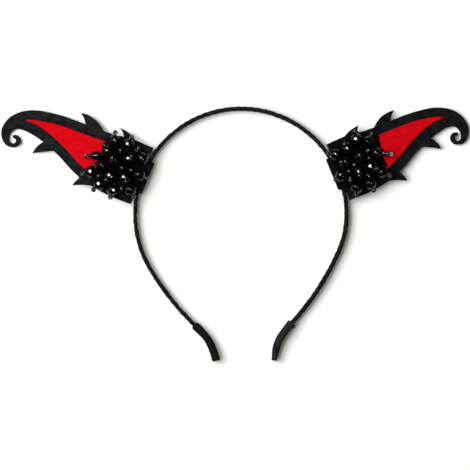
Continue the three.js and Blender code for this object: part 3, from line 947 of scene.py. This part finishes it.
class HEADBAND_OT_stage(bpy.types.Operator):
    """Makes the pale floor, the soft light and the camera that looks straight down"""
    bl_idname = "headband.stage"
    bl_label = "Stage"

    def execute(self, context):
        stage = context.scene.headband_stage
        ends = [-FLOOR_HALF, FLOOR_HALF]
        corners = np.stack(np.meshgrid(ends, ends, [FLOOR_HEIGHT]), -1).reshape(-1, 3)
        mesh = bpy.data.meshes.new("floor")
        mesh.from_pydata((corners * MM).tolist(), [], [(0, 1, 3, 2)])
        mesh.materials.append(floor_finish("pale_board", tuple(stage.floor)))
        floor = bpy.data.objects.new("floor", mesh)
        context.scene.collection.objects.link(floor)
        self.light(context, stage)
        self.camera(context, stage)
        return {"FINISHED"}

    def light(self, context, stage):
        """A soft key light from the left, a ceiling and a room that is bright low down light the surfaces.

        Three more lamps only show in what is glossy: a strong one, a small one across from it, and a pale
        wall. A lamp's row is its name, power, size, place and colour, and whether it is one of those three.
        """
        white, fill = (1.0, 1.0, 1.0), tuple(stage.fill)[:3]
        lamps = [
            ("key", stage.key, 1.1, (-0.64, 0.2, 1.11), white, False),
            ("ceiling", stage.ceiling, 2.2, (0.0, 0.0, 1.7), fill, False),
            ("glint", stage.glint, 0.5, GLINT[0], white, True),
            ("spark", stage.glint * 0.18, 0.22, SPARK[0], white, True),
            ("wall", stage.glint * 0.12, 1.2, (-1.5, 0.4, 0.75), white, True),
        ]
        for name, power, size, place, colour, glossy in lamps:
            lamp = bpy.data.lights.new(name, "AREA")
            lamp.energy = power
            lamp.size = size
            lamp.color = colour
            box = bpy.data.objects.new(name, lamp)
            box.location = place
            box.rotation_euler = box.location.to_track_quat("Z", "Y").to_euler()
            box.visible_glossy = glossy
            box.visible_diffuse = not glossy
            box.visible_camera = False
            context.scene.collection.objects.link(box)
        world = bpy.data.worlds.new("room")
        context.scene.world = world
        world.cycles_visibility.glossy = False
        room = Finish(world)
        way = room.node("ShaderNodeTexCoord", output="Generated")
        height = room.node("ShaderNodeSeparateXYZ", None, {"Vector": way}, "Z")
        room.feed(room.tree.nodes["Background"].inputs["Color"], room.mixed(
            height.between(0.1, 0.95), (*fill, 1.0), shade((*fill, 1.0), 0.06)))
        room.feed(room.tree.nodes["Background"].inputs["Strength"], stage.sky)
        context.scene.view_settings.view_transform = "Standard"

    def camera(self, context, stage):
        """A camera above the middle of the photograph, with the lens that gives the photograph's width."""
        lens = bpy.data.cameras.new("camera")
        lens.lens = lens.sensor_width * (stage.camera_height - VIEW_PLANE * MM) / (VIEW_WIDE * MM)
        camera = bpy.data.objects.new("camera", lens)
        camera.location = (VIEW_CENTRE[0] * MM, VIEW_CENTRE[1] * MM, stage.camera_height)
        context.scene.collection.objects.link(camera)
        context.scene.camera = camera


class HEADBAND_OT_band(bpy.types.Operator):
    """Winds the band's strip with overlapping turns of satin ribbon"""
    bl_idname = "headband.band"
    bl_label = "Wound band"

    def execute(self, context):
        ribbon = context.scene.headband_ribbon
        ends = -band_length(-1) + BAND_INSET, band_length(1) - BAND_INSET
        length = np.linspace(*ends, 1100)
        wide = table_at(BAND_THICK, length) + 0.07 * waves(length[:, None], 14.0, 5)
        grid, uv = wound(
            length, wide, BAND_DEEP, power=2.4, relief=ribbon.relief / MM, pitch=ribbon.pitch / MM,
            around=36, wobble_seed=11)
        points, faces, corners = closed_tube(grid, uv)
        finish = ribbon_finish(
            "satin_ribbon", tuple(ribbon.colour), tuple(ribbon.painted_sheen),
            roughness=0.26, gloss=0.02, ribs=BAND_RIBS, slubs=3.0)
        band = add_piece("wound_band", points, faces, finish, corners)
        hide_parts("band")
        return {"FINISHED"}


class HEADBAND_OT_sleeves(bpy.types.Operator):
    """Winds each end of the band into a thicker sleeve with a collar"""
    bl_idname = "headband.sleeves"
    bl_label = "End sleeves"

    def execute(self, context):
        ribbon = context.scene.headband_ribbon
        for side, ear in EARS.items():
            hand = ear["hand"]
            painted_sheen = shade(ribbon.painted_sheen, SLEEVE_PAINTED_SHEEN[hand])
            finish = ribbon_finish(
                f"matt_ribbon_{side}", tuple(ribbon.colour), painted_sheen,
                roughness=0.62, gloss=0.02, ribs=SLEEVE_RIBS[hand], slubs=5.0)
            along = np.linspace(0, SLEEVE_LENGTH, 150)
            start = band_length(hand) - SLEEVE_LENGTH
            wide = table_at(SLEEVE_WIDE[hand], along) + 0.1 * waves(along[:, None], 7.0, 20 + hand)
            grid, uv = wound(
                hand * (start + along), wide, SLEEVE_DEEP, power=3.0, relief=SLEEVE_RELIEF[hand],
                pitch=SLEEVE_TURN[hand], around=48, wobble_seed=30 + hand)
            points, faces, corners = closed_tube(grid, uv)
            sleeve = add_piece(f"wound_sleeve_{side}", points, faces, finish, corners)
            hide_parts(f"sleeve_{side}")
        return {"FINISHED"}


class HEADBAND_OT_ears(bpy.types.Operator):
    """Cuts the two black felt ears with their barbs and folds their tabs round the band"""
    bl_idname = "headband.ears"
    bl_label = "Felt ears"

    def execute(self, context):
        felt = context.scene.headband_felt
        for side, ear in EARS.items():
            # The black felt is drawn darker round the middle of each bead cluster: painted shade from the
            # beads.
            black, middle = shade(felt.black, ear["shade"]), tuple(on_headband(ear, CLUSTER_MIDDLE) * MM)
            finish = felt_finish(f"black_felt_{side}", black, 0.85, 0.25 * ear["shade"], middle)
            piece, wide, long, area = felt_piece(
                f"felt_ear_{side}", ear, ear_pattern(ear), low=-felt.thickness / MM, high=0.0,
                rounding=felt.rounding / MM, seed=40, finish=finish)
            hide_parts(f"ear_{side}")
        return {"FINISHED"}


class HEADBAND_OT_inlays(bpy.types.Operator):
    """Cuts the red felt inlays and lays them on the ears"""
    bl_idname = "headband.inlays"
    bl_label = "Red inlays"

    def execute(self, context):
        felt = context.scene.headband_felt
        for side, ear in EARS.items():
            finish = felt_finish(f"red_felt_{side}", tuple(felt.red), 0.2, 0.05)
            piece, wide, long, area = felt_piece(
                f"felt_inlay_{side}", ear, inlay_pattern(ear),
                low=INLAY_LOW, high=INLAY_LOW + felt.inlay_thickness / MM,
                rounding=felt.rounding / MM, seed=60, finish=finish)
            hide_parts(f"inlay_{side}")
        return {"FINISHED"}


class HEADBAND_OT_fibres(bpy.types.Operator):
    """Raises loose fibres from the cut edges of the felt"""
    bl_idname = "headband.fibres"
    bl_label = "Felt fibres"

    def execute(self, context):
        felt = context.scene.headband_felt
        inlay_high = INLAY_LOW + felt.inlay_thickness / MM
        kinds = [
            ("ear", ear_pattern, "black_felt", "felt", -felt.thickness / MM, 0.0, felt.fibres),
            ("inlay", inlay_pattern, "red_felt", "inlay", INLAY_LOW, inlay_high, felt.fibres // 3),
        ]
        for side, ear in EARS.items():
            for kind, pattern, material, slot, low, high, count in kinds:
                cut, _, edges, _ = flat_cut(pattern(ear))
                edges = edges[cut[edges].mean(1)[:, 0] > 0.3]
                roots, way, length = self.scatter(cut, edges, low, high, count, felt.fibre_length / MM)
                points, faces = loose_fibres(roots, way, length, radius=0.016, seed=90)
                finish = bpy.data.materials[f"{material}_{side}"]
                add_piece(f"{kind}_fibres_{side}", on_headband(ear, points), faces, finish)
        return {"FINISHED"}

    def scatter(self, cut, edges, low, high, count, longest):
        """Roots of fibres spread evenly over an outline, ways out of it within a wide cone, and lengths."""
        draw = np.random.default_rng(80)
        step = cut[edges[:, 1]] - cut[edges[:, 0]]
        long = np.linalg.norm(step, axis=1)
        pick = draw.choice(len(edges), count, p=long / long.sum())
        place = cut[edges[pick, 0]] + draw.uniform(0, 1, (count, 1)) * step[pick]
        out = joined(step[pick, 1], -step[pick, 0]) / long[pick, None]
        height = draw.uniform(low + 0.2, high - 0.15, count)
        way = unit(np.column_stack([out, np.zeros(count)]) + draw.normal(0, 0.55, (count, 3)))
        length = longest * draw.uniform(0.25, 1.0, count) ** 1.5
        return np.column_stack([place - 0.12 * out, height]), way, length


class HEADBAND_OT_beads(bpy.types.Operator):
    """Cuts the black glass beads of both clusters, each on its own solid's place and axis"""
    bl_idname = "headband.beads"
    bl_label = "Cut glass beads"

    def execute(self, context):
        beads = context.scene.headband_beads
        finish = glass_finish("black_glass", tuple(beads.glass), roughness=0.04, gloss=0.15)
        hole = beads.hole / MM
        for side in EARS:
            for node, grade in zip(BEAD_NODES[side], BEAD_GRADES[side]):
                centre, axis, radius, half = bead_pose(node)
                cut, turn = lit_pose(centre, axis, GRADE_SHINE[grade], beads.facets)
                rows, taper = BEAD_CUTS[cut], TAPERS.get(node, 0.0)
                grid = faceted_bead(radius, half, hole, rows, beads.facets, beads.crispness, taper)
                points = centre + grid @ bead_axes(axis, turn)
                faces = grid_corners(*grid.shape[:2], wrap_rows=True, wrap_columns=True)
                piece = add_piece(node.replace("bead", "glass_bead"), points, faces, finish)
                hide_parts(node)
        return {"FINISHED"}


class HEADBAND_OT_seed_beads(bpy.types.Operator):
    """Strings the small seed beads that stop each bead's thread"""
    bl_idname = "headband.seed_beads"
    bl_label = "Seed beads"

    def execute(self, context):
        beads = context.scene.headband_beads
        finish = glass_finish("seed_glass", tuple(beads.glass), roughness=0.05, gloss=0.26)
        radius = beads.seed_radius / MM
        ring = seed_ring(radius)
        for side in EARS:
            places, axes, _ = seed_places(side, radius)
            points = places[:, None, None] + np.einsum("rck,nkj->nrcj", ring, axes)
            one = grid_corners(*ring.shape[:2], wrap_rows=True, wrap_columns=True)
            faces = repeated(one, len(places), ring.shape[0] * ring.shape[1])
            add_piece(f"seed_beads_{side}", points, faces, finish)
        return {"FINISHED"}


class HEADBAND_OT_threads(bpy.types.Operator):
    """Sews each bead on: a thread from the felt through the bead, round its last seed bead and back"""
    bl_idname = "headband.threads"
    bl_label = "Sewing threads"

    def execute(self, context):
        beads = context.scene.headband_beads
        finish = thread_finish("black_thread", (0.006, 0.006, 0.007, 1.0))
        radius = beads.seed_radius / MM
        for side in EARS:
            places, axes, last = seed_places(side, radius)
            lines = self.lines(side, places[last], axes[last], radius)
            points, faces = tubes(lines, beads.thread_radius / MM)
            add_piece(f"sewing_threads_{side}", points, faces, finish)
        return {"FINISHED"}

    def lines(self, side, places, axes, radius):
        """A thread's line: up from under the bead, through it, round the seed bead in a loop, and back.

        The loop rises as a cosine to the seed bead's middle and swings to both sides as a sine.
        """
        poses = [bead_pose(node) for node in BEAD_NODES[side]]
        centre = np.array([pose[0] for pose in poses])
        axis = np.array([pose[1] for pose in poses])
        half = np.array([pose[3] for pose in poses])[:, None]
        foot = centre - axis * (half + THREAD_SHOWS) - np.array([0, 0, THREAD_SINKS])
        mouth = centre + axis * half * 0.8
        across = axes[:, 2]
        turn = np.linspace(-np.pi / 2, np.pi / 2, 21)[None, :, None]
        top = places[:, None] - mouth[:, None]
        rise = 0.5 + 0.5 * np.cos(turn * 2)
        loop = mouth[:, None] + top * rise + 0.8 * radius * across[:, None] * np.sin(turn * 2)
        stem = np.linspace(0, 1, 6)[None, :-1, None]
        up = foot[:, None] + (mouth - foot)[:, None] * stem
        return np.concatenate([up, loop, up[:, ::-1] + 0.2 * across[:, None]], 1)


class HEADBAND_PT_panel(bpy.types.Panel):
    """Lists the headband's pieces and settings"""
    bl_idname = "HEADBAND_PT_panel"
    bl_label = "Headband"
    bl_space_type = "VIEW_3D"
    bl_region_type = "UI"
    bl_category = "Headband"

    def draw(self, context):
        for operator in OPERATORS:
            self.layout.operator(operator.bl_idname)
        for group in SETTINGS:
            box = self.layout.box()
            for name in SETTINGS[group].__annotations__:
                box.prop(getattr(context.scene, group), name)


OPERATORS = [
    HEADBAND_OT_stage, HEADBAND_OT_band, HEADBAND_OT_sleeves, HEADBAND_OT_ears, HEADBAND_OT_inlays,
    HEADBAND_OT_fibres, HEADBAND_OT_beads, HEADBAND_OT_seed_beads, HEADBAND_OT_threads,
]
SETTINGS = {
    "headband_ribbon": RibbonSettings,
    "headband_felt": FeltSettings,
    "headband_beads": BeadSettings,
    "headband_stage": StageSettings,
}


def register():
    for kind in (*SETTINGS.values(), *OPERATORS, HEADBAND_PT_panel):
        bpy.utils.register_class(kind)
    for name, kind in SETTINGS.items():
        setattr(bpy.types.Scene, name, bpy.props.PointerProperty(type=kind))


def unregister():
    for name in SETTINGS:
        delattr(bpy.types.Scene, name)
    for kind in (HEADBAND_PT_panel, *reversed(OPERATORS), *SETTINGS.values()):
        bpy.utils.unregister_class(kind)


def main():
    """Registers the add-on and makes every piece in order."""
    register()
    bpy.ops.headband.stage()
    bpy.ops.headband.band()
    bpy.ops.headband.sleeves()
    bpy.ops.headband.ears()
    bpy.ops.headband.inlays()
    bpy.ops.headband.fibres()
    bpy.ops.headband.beads()
    bpy.ops.headband.seed_beads()
    bpy.ops.headband.threads()


if __name__ == "__main__":
    main()
